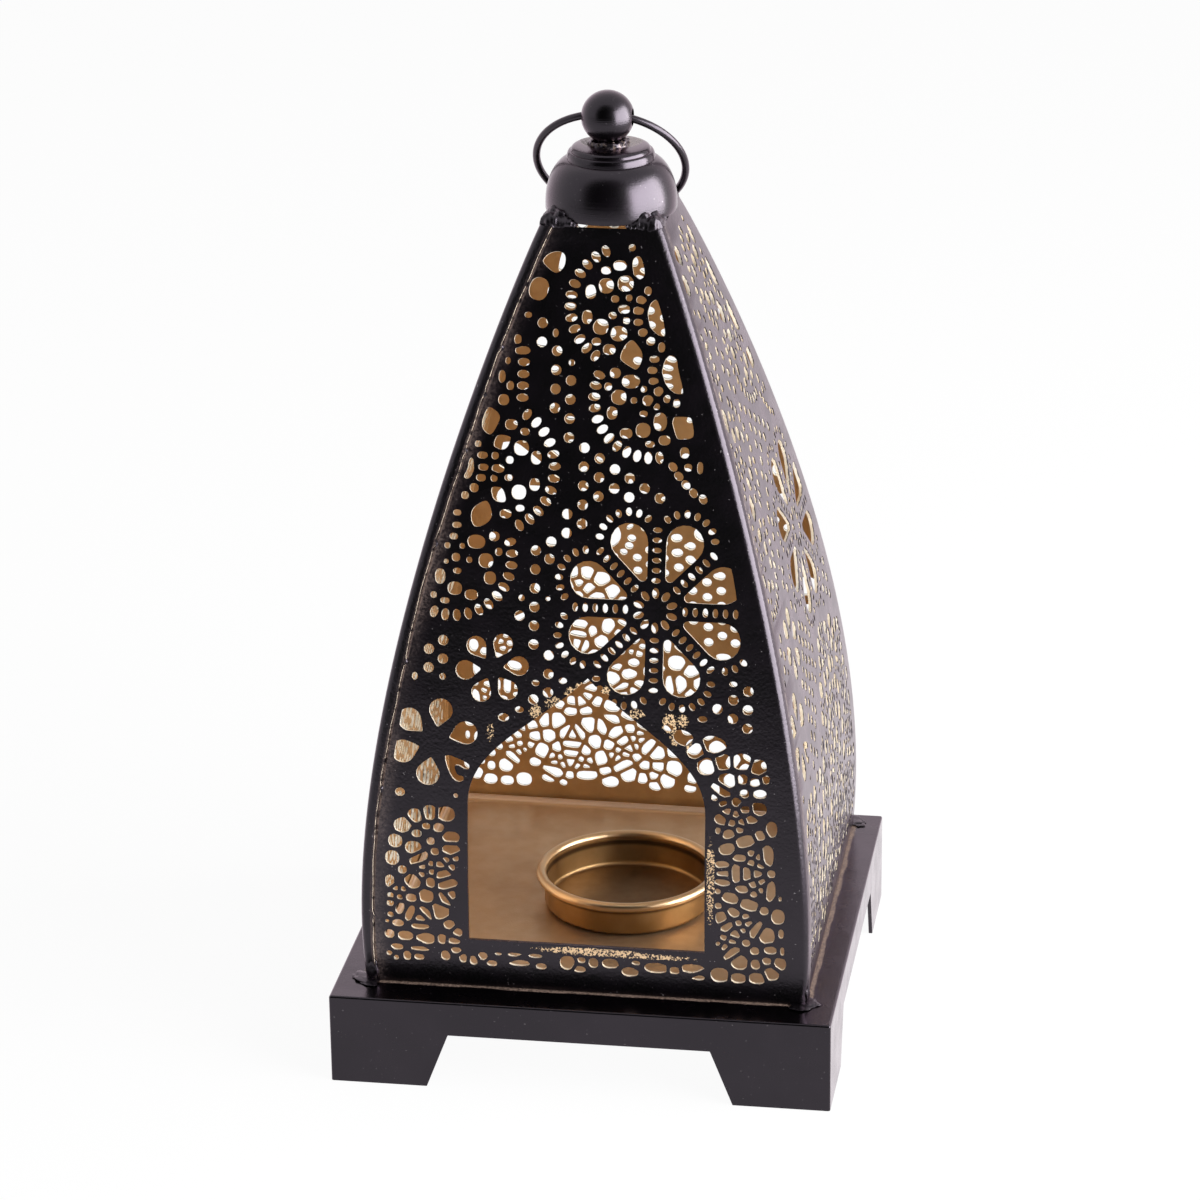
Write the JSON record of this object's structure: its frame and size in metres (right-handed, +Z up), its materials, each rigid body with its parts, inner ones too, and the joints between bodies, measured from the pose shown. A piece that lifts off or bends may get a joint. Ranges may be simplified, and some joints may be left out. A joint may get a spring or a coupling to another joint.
{
  "type": "oriental lantern",
  "caption": "Oriental candle lantern with bowed pierced sheet panels, an arched doorway, a candle cup on a footed plinth, and a domed cap with a ball finial and swinging ring handle.",
  "frame": {"origin": "middle of the plinth at the level it stands on", "axes": "+Z up the lantern's middle, -Y out through the arched doorway, +X to the right of someone facing the doorway"},
  "size_m": [0.125, 0.125, 0.2387],
  "materials": {
    "black_paint": "satin black paint",
    "gilt_paint": "satin gold bronze paint",
    "weld_bead": "scratched weld metal under thin paint"
  },
  "bodies": {
    "lantern": {"plinth": "black_paint", "panel_front": "black_paint", "panel_right": "black_paint", "panel_back": "black_paint", "panel_left": "black_paint", "floor_plate": "gilt_paint", "candle_cup": "gilt_paint", "cap_dome": "black_paint", "cap_tier": "black_paint", "finial_ball": "black_paint", "cap_weld_front_right": "weld_bead", "cap_weld_back_right": "weld_bead", "cap_weld_back_left": "weld_bead", "cap_weld_front_left": "weld_bead", "foot_weld_front_right": "weld_bead", "foot_weld_back_right": "weld_bead", "foot_weld_back_left": "weld_bead", "foot_weld_front_left": "weld_bead", "neck_weld": "weld_bead"},
    "ring": {"ring_handle": "black_paint"}
  },
  "joints": [
    {"name": "ring_swing", "type": "hinge", "parent": "lantern", "child": "ring", "pos_m": [0, 0.003, 0.2322], "axis": [1, 0, 0], "range_deg": [0, 290]}
  ]
}
